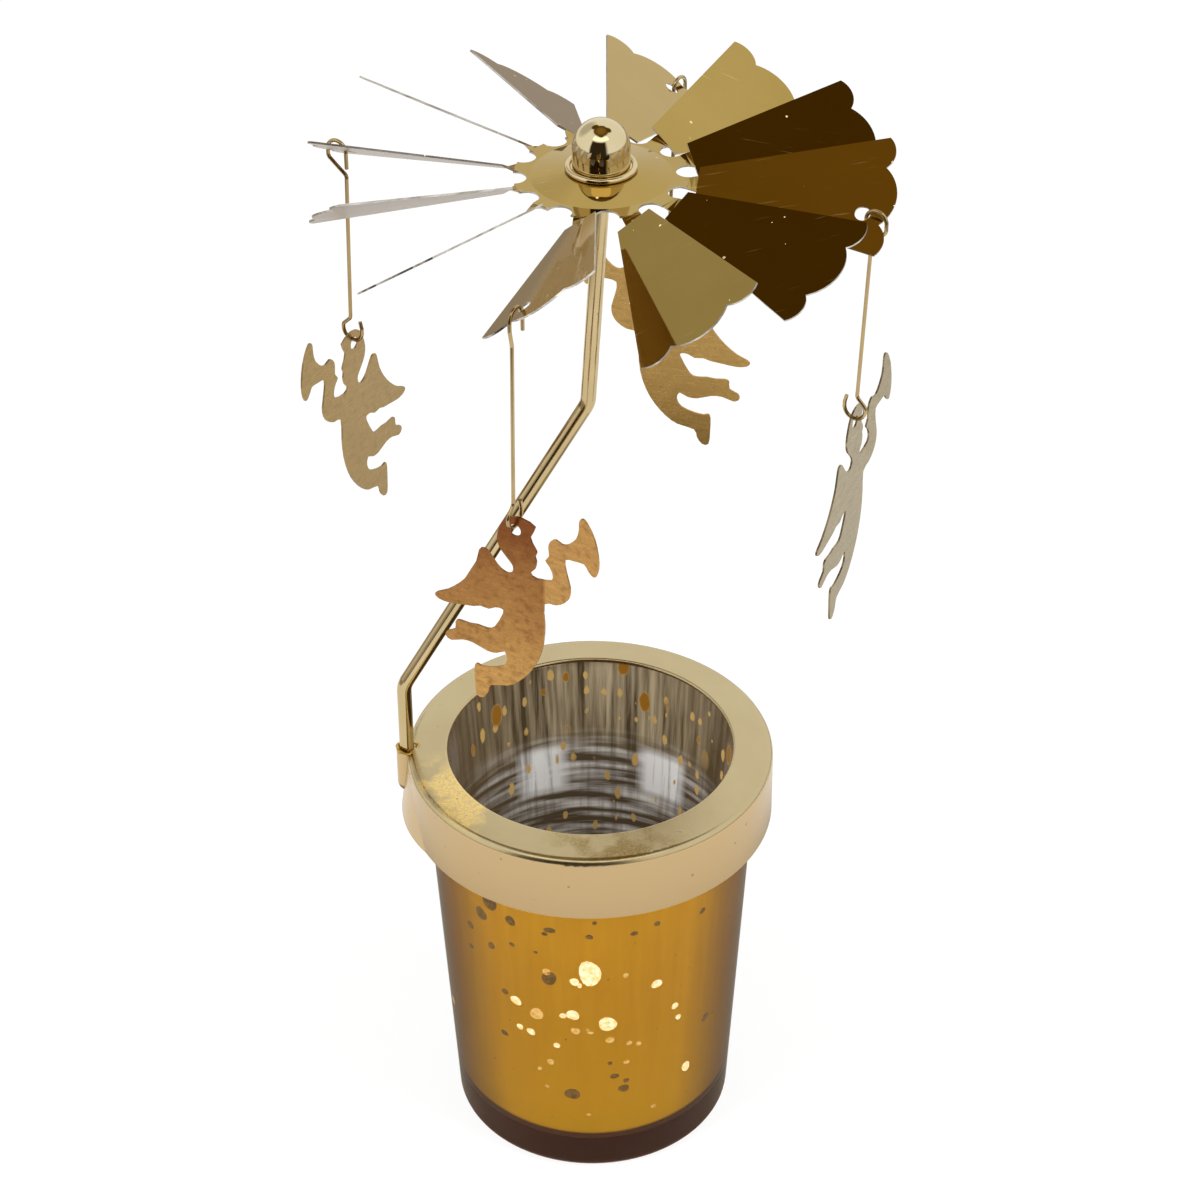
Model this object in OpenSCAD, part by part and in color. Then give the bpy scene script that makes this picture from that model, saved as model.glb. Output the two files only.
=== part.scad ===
// Angel chime carousel: a glass candle cup with a metal ring cap, a bent rod that
// stands in the cap, and a twelve-blade wheel that turns on the rod's point and
// carries four wire hooks with flat angel figures.
// Millimetres, +Z up. The origin is the centre of the cup's bottom face.

/* [Glass cup] */
// Height of the cup
cup_h = 72.8; // [50:0.1:120]
// Outer radius of the cup at its base
cup_base_r = 23.4; // [20:0.1:26]
// Outer radius of the cup at its rim
cup_rim_r = 27.5; // [26.5:0.1:28]
// Radius of the rounded edge round the base
cup_corner_r = 2.1; // [0.5:0.1:4]
// Thickness of the glass wall
cup_wall = 2.8; // [1.5:0.1:3.5]
// Thickness of the glass floor
cup_floor = 5; // [2:0.1:10]
// Radius of the fillet between wall and floor inside
cup_fillet_r = 3; // [0.5:0.1:6]

/* [Ring cap] */
// Clearance between the glass rim and the inside of the skirt
ring_play = 2; // [1.3:0.1:4]
// Radius of the opening in its top
ring_open_r = 23.4; // [18:0.1:24]
// Height of the cap, from the skirt's edge to the top face
ring_h = 11.7; // [8:0.1:20]
// Thickness of the cap's sheet metal
ring_sheet = 0.5; // [0.3:0.05:0.8]
// Outer radius of the rounded top edge
ring_edge_r = 1.2; // [0.9:0.1:2]
// Radius of the rolled bead round the opening
ring_bead_r = 0.45; // [0.3:0.05:0.7]
// How far the skirt is pushed out round the pocket at its lower edge
swell = 1.35; // [0.5:0.05:2]
// Radius of the swelling at the skirt's lower edge
swell_r = 22; // [16:0.5:26]
// How far down the pocket reaches from the cap's top face
pocket_h = 8.6; // [5:0.1:10]
// Thickness of the strap that closes the pocket
strap_t = 0.5; // [0.3:0.05:0.8]
// Width of the strap
strap_w = 9; // [7:0.5:14]
// Height of the strap
strap_h = 5; // [3:0.1:6]

/* [Support rod] */
// Diameter of the rod
rod_d = 2.4; // [1.8:0.1:3]
// How far the rod's axis stands outside the skirt's face
rod_out = 0.1; // [-0.2:0.1:0.6]
// Height of the rod's lower bend above the cap
rod_low_rise = 12.6; // [8:0.1:20]
// Height of the rod's upper bend above its lower bend
rod_slope_rise = 53.4; // [40:0.1:70]
// Height of the wheel's hub above the rod's upper bend
rod_top_rise = 39.1; // [30:0.1:50]
// Sideways place of the rod's upper bend
rod_bend_x = 0.1; // [-2:0.1:2]
// Radius of the rod's two bends
rod_bend_r = 4.5; // [3:0.1:8]
// Length of the ground point at the rod's top
point_l = 4; // [2:0.1:5]
// Radius that is left at the rod's tip
point_r = 0.15; // [0.1:0.05:0.3]
// Radial clearance round the rod in its pocket
rod_fit = 0.05; // [0.01:0.01:0.1]

/* [Wheel] */
// Sideways place of the wheel's axis
wheel_x = 2.35; // [1:0.05:4]
// Thickness of the wheel's sheet metal
blade_t = 0.3; // [0.2:0.05:0.5]
// Radius of the flat hub
hub_r = 13; // [12.6:0.1:13.4]
// Rise of the hub's middle above its rim
hub_rise = 1; // [0.3:0.1:1.5]
// Radius where the hub begins to rise to its middle
hub_rise_r = 10.5; // [9:0.1:10.8]
// Radius of the bites between the necks
bite_r = 1.85; // [1.5:0.05:2]
// How far inside the hub's edge the bites are centred
bite_in = 0.2; // [0:0.1:0.4]
// Radius where each blade begins
blade_root_u = 14.3; // [14:0.1:16]
// Radius at the blades' outer corners
blade_tip_u = 41.4; // [38:0.1:44]
// Half the width of a blade at its root
blade_root_v = 2.8; // [2:0.1:3.2]
// Half the width of a blade at its outer corners
blade_tip_v = 9.9; // [9:0.1:10.4]
// Half the width of a blade's middle scallop
scallop_v = 4.8; // [4.6:0.1:5]
// Depth of the middle scallop
scallop_rise = 2.1; // [1:0.1:3]
// Depth of the two side scallops
side_rise = 1.1; // [0.6:0.1:1.6]
// Width of the necks between hub and blades
neck_w = 2.7; // [2:0.1:3]
// Twist of the blades about their radial line
blade_pitch = 31.5; // [20:0.5:35]
// Direction of the first blade, which carries the right hook
first_az = -12; // [-20:0.5:20]
// Diameter of the hook holes
hook_hole_d = 2.3; // [1.9:0.1:2.6]
// Distance of the hook holes from the wheel's axis
hook_hole_u = 38.9; // [37.5:0.1:39]
// Distance of the hook holes from the blades' middle line
hook_hole_v = 3.1; // [2.5:0.1:3.5]

/* [Dome cap] */
// Outer radius of the dome
dome_r = 4.3; // [4:0.1:5]
// Height of the straight part below the dome
dome_skirt_h = 3.6; // [2.5:0.1:5]
// Thickness of the dome's sheet metal
dome_t = 0.4; // [0.3:0.05:0.5]
// Radius of the rolled bead round the dome's flange
dome_bead_r = 0.45; // [0.35:0.05:0.6]
// Width of the groove between the dome and the bead
dome_groove = 0.2; // [0.1:0.05:0.4]
// Outer radius of the eyelet's barrel
eyelet_r = 3; // [2.6:0.1:3.2]
// Thickness of the eyelet's metal
eyelet_t = 0.35; // [0.25:0.05:0.5]
// Clearance between pieces that are pressed or riveted together
seat_gap = 0.03; // [0.01:0.01:0.08]

/* [Hooks] */
// Diameter of the hook wire
wire_d = 0.6; // [0.4:0.05:0.7]
// Width of the upper crook, between wire centres
crook_w = 3.3; // [3.2:0.05:3.6]
// Radial play between the crook's short leg and the rim of its hole
crook_play = 0.2; // [0.15:0.05:0.3]
// Drop from a blade's hole to the wire that the figure hangs on
hook_drop = 32.8; // [25:0.1:45]
// Radius of the lower loop
loop_r = 1.75; // [1.5:0.05:2]
// Height of the lower loop's free end
loop_end_h = 3.6; // [3:0.1:5]
// Length of the crook's short leg below the blade
short_leg = 3; // [2:0.1:4]
// Height of the crook above the hole's rim
crook_top = 1.3; // [1.2:0.05:1.6]
// Depths below the rim where the wire turns in under the crook and where it has turned straight
crook_low = 1.7; // [1:0.1:2]
kink_low = 4.2; // [3.8:0.1:6]
// Heights above the wire's lowest point where it opens into the lower loop
loop_neck_h = 3.8; // [3.6:0.1:5]
loop_side_h = 2.4; // [2:0.1:2.6]

/* [Angels] */
// Thickness of the figures' sheet metal
angel_t = 0.3; // [0.2:0.05:0.4]
// Diameter of the hole in the figure's head
angel_hole_d = 2; // [1.6:0.1:2.6]
// Running gap between the hole's rim and the wire
angel_gap = 0.08; // [0.05:0.01:0.1]
// Height of the figures
angel_h = 34; // [30:0.5:38]

/* [Hidden] */
$fn = 64;

blade_n = 12;
blade_step = 360 / blade_n;
// Each blade was twisted by hand, so each one differs a little: its extra twist, its
// turn about the axis and its rise, in degrees, counted counterclockwise from the right hook's blade.
extra_pitch = [-0.5, -1, -1, 0, 3.5, 4, 0, 3, 5.5, 6, 2, -8];
extra_turn = [0, 1.5, 1, -1, -1, 0, 0, 0, -2.5, -0.5, 0.5, 1];
blade_lift = [1.5, -2, -3.5, -6.5, -7.5, -0.5, 1, 2, 0.5, 3.5, -5, -2];

// The four hooks, each on every third blade, were bent by hand: how far out each one's shank
// and lower loop lie and how much lower the loop is, then how far its figure has turned on it
// and how far the figure's arm is folded forward, in degrees.
RIGHT = 0;
BACK = 1;
LEFT = 2;
FRONT = 3;
hook_n = 4;
shank_out = [0.5, 0, -0.4, 2.3];
loop_out = [-1, -2, 0, 2.6];
loop_low = [1.6, -1, 0, 1];
figure_turn = [7, 25, 3, 3];
arm_fold = [2, 6, 2, 6];

rod_r = rod_d / 2;
wire_r = wire_d / 2;
ring_r = cup_rim_r + ring_play + ring_sheet;
rod_foot_x = ring_r + rod_out;
cap_z = cup_h;                     // the cap's underside rests on the glass rim
cap_top = cap_z + ring_sheet;
skirt_z = cap_top - ring_h;
pocket_r = rod_r + rod_fit + ring_sheet;
pocket_z = cap_top - pocket_h;
pocket_mouth_z = cap_top - 0.3;
foot_z = pocket_z + ring_sheet + rod_fit;
low_bend_z = cap_top + rod_low_rise;
high_bend_z = low_bend_z + rod_slope_rise;
hub_z = high_bend_z + rod_top_rise;
seat_z = hub_z + hub_rise + blade_t / 2;
bead_x = dome_r + dome_groove + dome_bead_r;
seat_r = bead_x + dome_bead_r + 0.2;
crown_z = seat_z + dome_skirt_h + dome_r - dome_t;
point_gap = 0.05;                  // the rod's point runs this close to the dome's crown
upright_l = 13;                    // the rod's last stretch stands upright on the wheel's axis
tip_z = crown_z - point_gap;

crook_r = crook_w / 2;
crook_angle = 24;                  // turn of the crook in the sheet, from hole to tip notch
strip_r = hook_hole_d / 2;
pale_gold = [0.83, 0.75, 0.53];
copper_gold = [0.72, 0.48, 0.25];
eps = 0.01;
hair = 0.01;                       // step that keeps two joined surfaces from coinciding
lap = 0.05;                        // how far joined stretches of one piece run into each other
reach = 200;                       // longer than any piece, for cutting blocks

// ---------- planar wire ----------

function unit(v) = v / norm(v);
function left_of(v) = [-v[1], v[0]];
function heading(v) = atan2(v[1], v[0]);
// Signed turn at corner i of a path, and the length that its bend takes from each side
function turn_at(p, i) =
    let (a = unit(p[i] - p[i - 1]), b = unit(p[i + 1] - p[i]))
    atan2(a[0] * b[1] - a[1] * b[0], a * b);
function bend_cut(p, r, i) =
    (i == 0 || i == len(p) - 1) ? 0 : r[i] * tan(abs(turn_at(p, i)) / 2);

// Straight length between the bends at i and i + 1, and whether those bends run into each other
function straight(p, r, i) = norm(p[i + 1] - p[i]) - bend_cut(p, r, i) - bend_cut(p, r, i + 1);
function merged(p, r, i) = i > 0 && i < len(p) - 2 && straight(p, r, i) < eps;

// Round wire of diameter d along the points p, with bend radius r[i] at point i.
// The points are [across, up], and the wire lies in the XZ plane. A bend is a hair
// thicker than the straights, which run a little way into it.
module bent_wire(p, r, d) {
    last = len(p) - 1;
    rotate([90, 0, 0]) {
        for (i = [0 : last - 1])
            if (!merged(p, r, i)) {
                along = unit(p[i + 1] - p[i]);
                lap_in = i > 0 ? lap : 0;
                lap_out = i < last - 1 ? lap : 0;
                from = p[i] + along * (bend_cut(p, r, i) - lap_in);
                translate([from[0], from[1], 0])
                    rotate([0, 90, heading(along)])
                        cylinder(h = straight(p, r, i) + lap_in + lap_out, d = d);
            }
        for (i = [1 : last - 1])
            if (!merged(p, r, i - 1)) {
                along = unit(p[i] - p[i - 1]);
                turn = turn_at(p, i) + (merged(p, r, i) ? turn_at(p, i + 1) : 0);
                side = sign(turn);
                centre = p[i] - along * bend_cut(p, r, i) + left_of(along) * r[i] * side;
                translate([centre[0], centre[1], 0])
                    rotate([0, 0, heading(along) - 90 * side + min(turn, 0)])
                        rotate_extrude(angle = abs(turn))
                            translate([r[i], 0]) circle(d = d + hair);
            }
    }
}

// ---------- places on the blades ----------

function spin_z(p, a) = [p[0] * cos(a) - p[1] * sin(a), p[0] * sin(a) + p[1] * cos(a), p[2]];
function pitch_of(i) = blade_pitch + extra_pitch[i];
function az_of(i) = first_az + blade_step * i + extra_turn[i];
// Point of blade i that lies u out and v sideways in its sheet and w above it.
// part is 0 in the hub's plane and 1 in the blade's plane; the twisted necks lie between.
function on_blade(i, u, v, w = 0, part = 1) =
    let (p = pitch_of(i) * part, q = blade_lift[i] * part, du = u - hub_r,
         y = v * cos(p) - w * sin(p), z = v * sin(p) + w * cos(p))
    spin_z([hub_r + du * cos(q) - z * sin(q), y, du * sin(q) + z * cos(q)], az_of(i))
    + [wheel_x, 0, hub_z];

// Hook k: the rim of its hole, where it hangs, and the direction that it lies in
function blade_of(k) = k * blade_n / hook_n;
function hang_point(k) =
    on_blade(blade_of(k), hook_hole_u + strip_r * cos(crook_angle),
             -hook_hole_v - strip_r * sin(crook_angle));
function hook_az(k) =
    let (hole = on_blade(blade_of(k), hook_hole_u, -hook_hole_v),
         out = on_blade(blade_of(k), hook_hole_u + cos(crook_angle), -hook_hole_v - sin(crook_angle)))
    heading([out[0] - hole[0], out[1] - hole[1]]);
// The middle of the wire that the figure hangs on
function loop_point(k) =
    hang_point(k) + spin_z([loop_out[k], 0, -hook_drop - loop_low[k]], hook_az(k));

// ---------- cup ----------

module cup_outline() {
    difference() {
        polygon([[0, 0], [cup_base_r - cup_corner_r, 0], [cup_base_r, cup_corner_r],
                 [cup_rim_r, cup_h - cup_wall / 2], [cup_rim_r - cup_wall, cup_h - cup_wall / 2],
                 [cup_base_r - cup_wall, cup_floor + cup_fillet_r],
                 [cup_base_r - cup_wall - cup_fillet_r, cup_floor], [0, cup_floor]]);
        translate([cup_base_r - cup_wall - cup_fillet_r, cup_floor + cup_fillet_r])
            circle(r = cup_fillet_r);
    }
    translate([cup_base_r - cup_corner_r, cup_corner_r]) circle(r = cup_corner_r);
    translate([cup_rim_r - cup_wall / 2, cup_h - cup_wall / 2]) circle(d = cup_wall);
}

module glass_cup() {
    color([0.80, 0.58, 0.20, 0.8])
        rotate_extrude() cup_outline();
}

// ---------- ring cap ----------

// The space inside the skirt, inset from its outer face, with the swelling at the pocket
module skirt_body(inset) {
    translate([0, 0, skirt_z - (inset > 0 ? eps : 0)])
        cylinder(r = ring_r - inset, h = ring_h - ring_edge_r + (inset > 0 ? 2 * eps : 0));
    swell_x = ring_r + swell - swell_r;
    translate([-swell_x, 0, skirt_z - (inset > 0 ? eps : 0)])
        cylinder(r1 = swell_r - inset, r2 = swell_r - inset - swell, h = ring_h - ring_edge_r);
}

module cap_top_section() {
    top_in = ring_open_r + ring_bead_r;
    // flat top, a little higher at the opening than at the edge
    polygon([[top_in, cap_z], [ring_r - ring_edge_r, cap_z], [ring_r - ring_edge_r, cap_top],
             [top_in, cap_z + 2 * ring_bead_r]]);
    translate([top_in, cap_z + ring_bead_r]) circle(r = ring_bead_r);
    // rounded edge
    intersection() {
        translate([ring_r - ring_edge_r, cap_top - ring_edge_r])
            difference() {
                circle(r = ring_edge_r);
                circle(r = ring_edge_r - ring_sheet);
            }
        translate([ring_r - ring_edge_r, cap_top - ring_edge_r]) square(ring_edge_r);
    }
}

module at_rod_foot() {
    translate([-rod_foot_x, 0, 0]) children();
}

module ring_cap() {
    color([0.82, 0.74, 0.52])
        difference() {
            union() {
                rotate_extrude() cap_top_section();
                difference() {
                    skirt_body(0);
                    skirt_body(ring_sheet);
                }
                // pocket for the rod's foot, closed and rounded below
                at_rod_foot() {
                    translate([0, 0, pocket_z + pocket_r])
                        cylinder(r = pocket_r, h = pocket_mouth_z - pocket_z - pocket_r);
                    translate([0, 0, pocket_z + pocket_r]) sphere(r = pocket_r);
                }
            }
            // the bore, and the space that the strap closes from inside
            at_rod_foot() translate([0, 0, foot_z - rod_fit])
                cylinder(r = rod_r + rod_fit, h = pocket_h + 1);
            translate([0, 0, pocket_z - 1])
                cylinder(r = ring_r - ring_sheet - eps, h = cap_z - pocket_z + 1);
        }
}

module socket_strap() {
    strap_r = ring_r - ring_sheet - seat_gap;
    strap_top = cap_z - 1;
    color([0.75, 0.68, 0.48])
        intersection() {
            difference() {
                union() {
                    difference() {
                        translate([0, 0, strap_top - strap_h]) cylinder(r = strap_r, h = strap_h);
                        translate([0, 0, strap_top - strap_h - 1])
                            cylinder(r = strap_r - strap_t, h = strap_h + 2);
                    }
                    at_rod_foot() translate([0, 0, strap_top - strap_h])
                        cylinder(r = rod_r + rod_fit + strap_t, h = strap_h);
                }
                at_rod_foot() translate([0, 0, strap_top - strap_h - 1])
                    cylinder(r = rod_r + rod_fit, h = strap_h + 2);
            }
            translate([-strap_r, -strap_w / 2, 0]) cube([ring_r / 2, strap_w, cap_z]);
            cylinder(r = strap_r, h = cap_z);
        }
}

// ---------- rod ----------

module support_rod() {
    p = [[-rod_foot_x, foot_z], [-rod_foot_x, low_bend_z], [rod_bend_x, high_bend_z],
         [wheel_x, tip_z - upright_l], [wheel_x, tip_z - point_l]];
    color([0.85, 0.76, 0.50]) {
        bent_wire(p, [0, rod_bend_r, rod_bend_r, 4 * rod_bend_r, 0], rod_d);
        translate([wheel_x, 0, tip_z - point_l - lap])
            cylinder(r1 = rod_r - hair, r2 = point_r, h = point_l + lap);
    }
}

// ---------- wheel ----------

// Centre of the circle through the two ends of a scallop, which rises above their line
function arc_radius(half, rise) = (half * half + rise * rise) / (2 * rise);

module blade_outline() {
    edge = (blade_tip_v - blade_root_v) / (blade_tip_u - blade_root_u);
    far_u = blade_tip_u + 2 * scallop_rise;
    far_v = blade_tip_v + (far_u - blade_tip_u) * edge;
    side_half = (blade_tip_v - scallop_v) / 2;
    side_r = arc_radius(side_half, side_rise);
    mid_r = arc_radius(scallop_v, scallop_rise);
    intersection() {
        polygon([[blade_root_u, -blade_root_v], [far_u, -far_v], [far_u, far_v], [blade_root_u, blade_root_v]]);
        union() {
            translate([0, -blade_tip_v]) square([blade_tip_u, 2 * blade_tip_v]);
            translate([blade_tip_u + scallop_rise - mid_r, 0]) circle(r = mid_r);
            for (side = [-1, 1])
                translate([blade_tip_u + side_rise - side_r, side * (scallop_v + side_half)])
                    circle(r = side_r);
        }
    }
}

// Moves a blade's flat sheet from the hub's plane to its place
module to_blade(i) {
    translate([wheel_x, 0, hub_z])
        rotate([0, 0, az_of(i)])
            translate([hub_r, 0, 0])
                rotate([0, -blade_lift[i], 0])
                    translate([-hub_r, 0, 0])
                        rotate([pitch_of(i), 0, 0])
                            children();
}

// Twisted strip from the hub's plane into the blade's plane
module neck(i) {
    steps = 4;
    from_u = hub_r - 1;
    to_u = blade_root_u + 1;
    thin = blade_t / 2 - 0.02;
    corners = [[-1, -1], [1, -1], [1, 1], [-1, 1]];
    points = [for (k = [0 : steps]) for (c = corners)
        on_blade(i, from_u + (to_u - from_u) * k / steps, c[0] * neck_w / 2, c[1] * thin,
                 min(1, max(0, (k - 0.5) / (steps - 1.5))))];
    faces = concat([[0, 2, 1], [0, 3, 2]],
                   [for (k = [0 : steps - 1]) for (c = [0 : 3]) for (half = [0, 1])
                       let (a = 4 * k + c, b = 4 * k + (c + 1) % 4)
                       half == 0 ? [a, b, b + 4] : [a, b + 4, a + 4]],
                   [[4 * steps, 4 * steps + 1, 4 * steps + 2], [4 * steps, 4 * steps + 2, 4 * steps + 3]]);
    polyhedron(points, faces);
}

// The hub's sheet: level at its rim, raised in the middle, where the dome sits
module hub_section() {
    half = blade_t / 2;
    in_r = eyelet_r + seat_gap;
    polygon([[in_r, hub_rise - half], [seat_r, hub_rise - half], [hub_rise_r, -half], [hub_r, -half],
             [hub_r, half], [hub_rise_r, half], [seat_r, hub_rise + half], [in_r, hub_rise + half]]);
}

module rotor_plate() {
    color([0.72, 0.58, 0.28]) {
        translate([wheel_x, 0, hub_z])
            difference() {
                rotate_extrude() hub_section();
                for (i = [0 : blade_n - 1])
                    rotate([0, 0, (az_of(i) + az_of((i + 1) % blade_n) + (i == blade_n - 1 ? 360 : 0)) / 2])
                        translate([hub_r - bite_in, 0, -blade_t]) cylinder(r = bite_r, h = 2 * blade_t);
            }
        for (i = [0 : blade_n - 1]) {
            neck(i);
            to_blade(i)
                translate([0, 0, -blade_t / 2])
                    linear_extrude(blade_t)
                        difference() {
                            blade_outline();
                            if (i % (blade_n / hook_n) == 0)
                                translate([hook_hole_u, -hook_hole_v]) circle(d = hook_hole_d);
                        }
        }
    }
}

// ---------- dome and eyelet ----------

module dome_cap() {
    lip_r = eyelet_r + seat_gap;
    color([0.85, 0.75, 0.45])
        translate([wheel_x, 0, seat_z])
            rotate_extrude()
                difference() {
                    union() {
                        square([dome_r, dome_skirt_h]);
                        intersection() {
                            translate([0, dome_skirt_h]) circle(r = dome_r);
                            translate([0, dome_skirt_h]) square(dome_r);
                        }
                        square([bead_x, dome_t]);
                        translate([bead_x, dome_bead_r]) circle(r = dome_bead_r);
                    }
                    translate([0, dome_t]) square([dome_r - dome_t, dome_skirt_h - dome_t]);
                    intersection() {
                        translate([0, dome_skirt_h]) circle(r = dome_r - dome_t);
                        translate([0, dome_skirt_h]) square(dome_r);
                    }
                    translate([0, -1]) square([lip_r, 2]);
                }
}

module hub_eyelet() {
    flare = 0.6;
    low = -blade_t - eyelet_t;
    high = dome_t + eyelet_t;
    color([0.78, 0.66, 0.38])
        translate([wheel_x, 0, seat_z])
            rotate_extrude() {
                translate([eyelet_r - eyelet_t, low]) square([eyelet_t, high - low]);
                translate([eyelet_r - eyelet_t, low]) square([eyelet_t + 2 * flare, eyelet_t]);
                translate([eyelet_r - eyelet_t, dome_t]) square([eyelet_t + flare, eyelet_t]);
            }
}

// ---------- hooks ----------

// Wire path in the hook's plane, measured from the rim that it hangs on
module hook(k) {
    leg_x = -wire_r - crook_play;
    out_x = leg_x + crook_w;
    mid_x = loop_out[k];
    low_z = -hook_drop - loop_low[k];
    bend_r = loop_r / 2;
    p = [[leg_x, -short_leg], [leg_x, crook_top], [out_x, crook_top], [out_x, -crook_low],
         [shank_out[k], -kink_low], [mid_x + wire_r, low_z + loop_neck_h],
         [mid_x + loop_r, low_z + loop_side_h], [mid_x + loop_r, low_z], [mid_x - loop_r, low_z],
         [mid_x - loop_r, low_z + loop_side_h], [mid_x - loop_r + wire_r, low_z + loop_end_h]];
    r = [0, crook_r, crook_r, bend_r, bend_r, bend_r, bend_r, loop_r, loop_r, bend_r, 0];
    color(pale_gold)
        translate(hang_point(k)) rotate([0, 0, hook_az(k)])
            bent_wire(p, r, wire_d);
}

// ---------- angels ----------

// Outline of the figure, seen from outside the carousel, measured from the hole in its head
angel_points = [
    // head and face
    [-1.6, 1.5], [-0.3, 2.2], [1.3, 2.3], [3.4, 1.4], [2.5, -0.6], [3.2, -2.2], [3.5, -2.9], [3.2, -3.7],
    [3.4, -4.5], [3.1, -5.8], [2.3, -6.8],
    // arm, hand and trumpet
    [3.3, -7.4], [5.8, -6.9], [6.1, -5.6], [5.5, -4.4], [4.9, -3.7], [5.6, -2.7], [5.5, -1.2], [5.9, -0.1],
    [6.8, 0.5], [7.9, 0.1], [9, 0.5], [10.4, 2], [10.9, 3.6], [11, 5.1], [11.5, 5.7], [12.3, 5.2],
    [13.5, 3], [14.1, 0.2], [14.1, -1.9], [13.6, -3.4], [12.9, -3.4], [12.2, -2.6], [11.6, -1.9],
    [10, -2], [8.3, -2.4], [8.5, -4.6], [9.1, -7], [8.9, -8.7], [8, -10], [6.5, -10.9], [4.4, -11.5],
    // belly and lower leg
    [4.4, -15.2], [4.1, -18.6], [3.1, -21.9], [1.6, -24.6], [-0.4, -26.9], [-2.3, -28.2], [-5.1, -29],
    [-5.6, -30.4], [-6.5, -31.7], [-7.6, -31.6], [-7.8, -29.2], [-7.8, -26.6], [-7.4, -25.8],
    [-6.6, -26], [-5, -25.7], [-2.9, -24.8], [-2.1, -23.4], [-2.5, -22.1],
    // upper leg
    [-3.9, -22.8], [-5.5, -22.9], [-7.8, -22.2], [-9.6, -22.2], [-11.6, -22.9], [-12.5, -22.3],
    [-12.2, -21.4], [-10.8, -20.6], [-10.7, -19.3], [-10.1, -18.8], [-8.4, -18.9], [-7, -18.7],
    [-5.4, -18.8], [-4.1, -18.2], [-2.5, -15.2],
    // wing
    [-2.7, -14.5], [-3.8, -14.6], [-4.9, -15.2], [-6.3, -15.1], [-7.4, -15.5], [-9.2, -15.8],
    [-11.8, -16.2], [-13.4, -16], [-14, -15.4], [-13.5, -14.8], [-11.8, -13.9], [-9.7, -12.1], [-8, -10],
    [-6.8, -7.8], [-6.1, -5.2], [-5.5, -4.7], [-4.7, -4.9], [-3.2, -6.9], [-2.1, -7.7], [-1.2, -7.8],
    [-0.6, -7.2], [-0.6, -6.2], [-1.8, -4.8], [-2.7, -3.6], [-3, -2], [-2.5, -0.1]];
drawn_h = 34;                      // height of the outline as drawn
angel_size = angel_h / drawn_h;
fold_x = 4.4 * angel_size;         // the arm is folded along this upright line
balance = 0.8;                     // turn that brings the figure's weight below the wire
outline_steps = 2;

// Smooth closed curve through the points p
function curve(p, steps) =
    let (n = len(p))
    [for (i = [0 : n - 1]) for (k = [0 : steps - 1])
        let (a = p[(i + n - 1) % n], b = p[i], c = p[(i + 1) % n], d = p[(i + 2) % n], t = k / steps)
        0.5 * (2 * b + (c - a) * t + (2 * a - 5 * b + 4 * c - d) * t * t
               + (3 * b - a - 3 * c + d) * t * t * t)];

module angel_sheet() {
    linear_extrude(angel_t, center = true)
        difference() {
            polygon(angel_size * curve(angel_points, outline_steps));
            circle(d = angel_hole_d);
        }
}

module angel(k, tone) {
    hole_drop = angel_hole_d / 2 - wire_r - angel_gap;
    overlap = 0.1;
    color(tone)
        translate(loop_point(k))
            rotate([0, 0, hook_az(k) + 90 + figure_turn[k]])
                rotate([90, -balance, 0])
                    translate([0, -hole_drop, 0]) {
                        intersection() {
                            angel_sheet();
                            translate([fold_x - reach, -reach / 2, -reach / 2]) cube(reach);
                        }
                        translate([fold_x, 0, 0]) rotate([0, -arm_fold[k], 0]) translate([-fold_x, 0, 0])
                            intersection() {
                                angel_sheet();
                                translate([fold_x - overlap, -reach / 2, -reach / 2]) cube(reach);
                            }
                    }
}

glass_cup();
ring_cap();
socket_strap();
support_rod();
rotor_plate();
dome_cap();
hub_eyelet();
hook(RIGHT);  // hook_right
hook(BACK);  // hook_back
hook(LEFT);  // hook_left
hook(FRONT);  // hook_front
angel(RIGHT, pale_gold);  // angel_right
angel(BACK, pale_gold);  // angel_back
angel(LEFT, pale_gold);  // angel_left
angel(FRONT, copper_gold);  // angel_front
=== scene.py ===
# %% [markdown]
# # Angel chime carousel
#
# A glass candle cup wears a loose metal ring cap. A bent rod stands in the cap, and on the
# rod's point turns a wheel of twelve twisted blades. Four wire hooks hang from the blades, and
# each one carries a flat metal angel. The solid model of all this already exists. This script
# loads it, gives every surface its finish and adds the thin things that a solid model leaves
# out: the silver coat inside the glass, its flecks and the crumpled lip round the rod's foot.

# %% Load the solid model
import math

import bpy
import bmesh
from mathutils import Matrix, Vector


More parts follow.
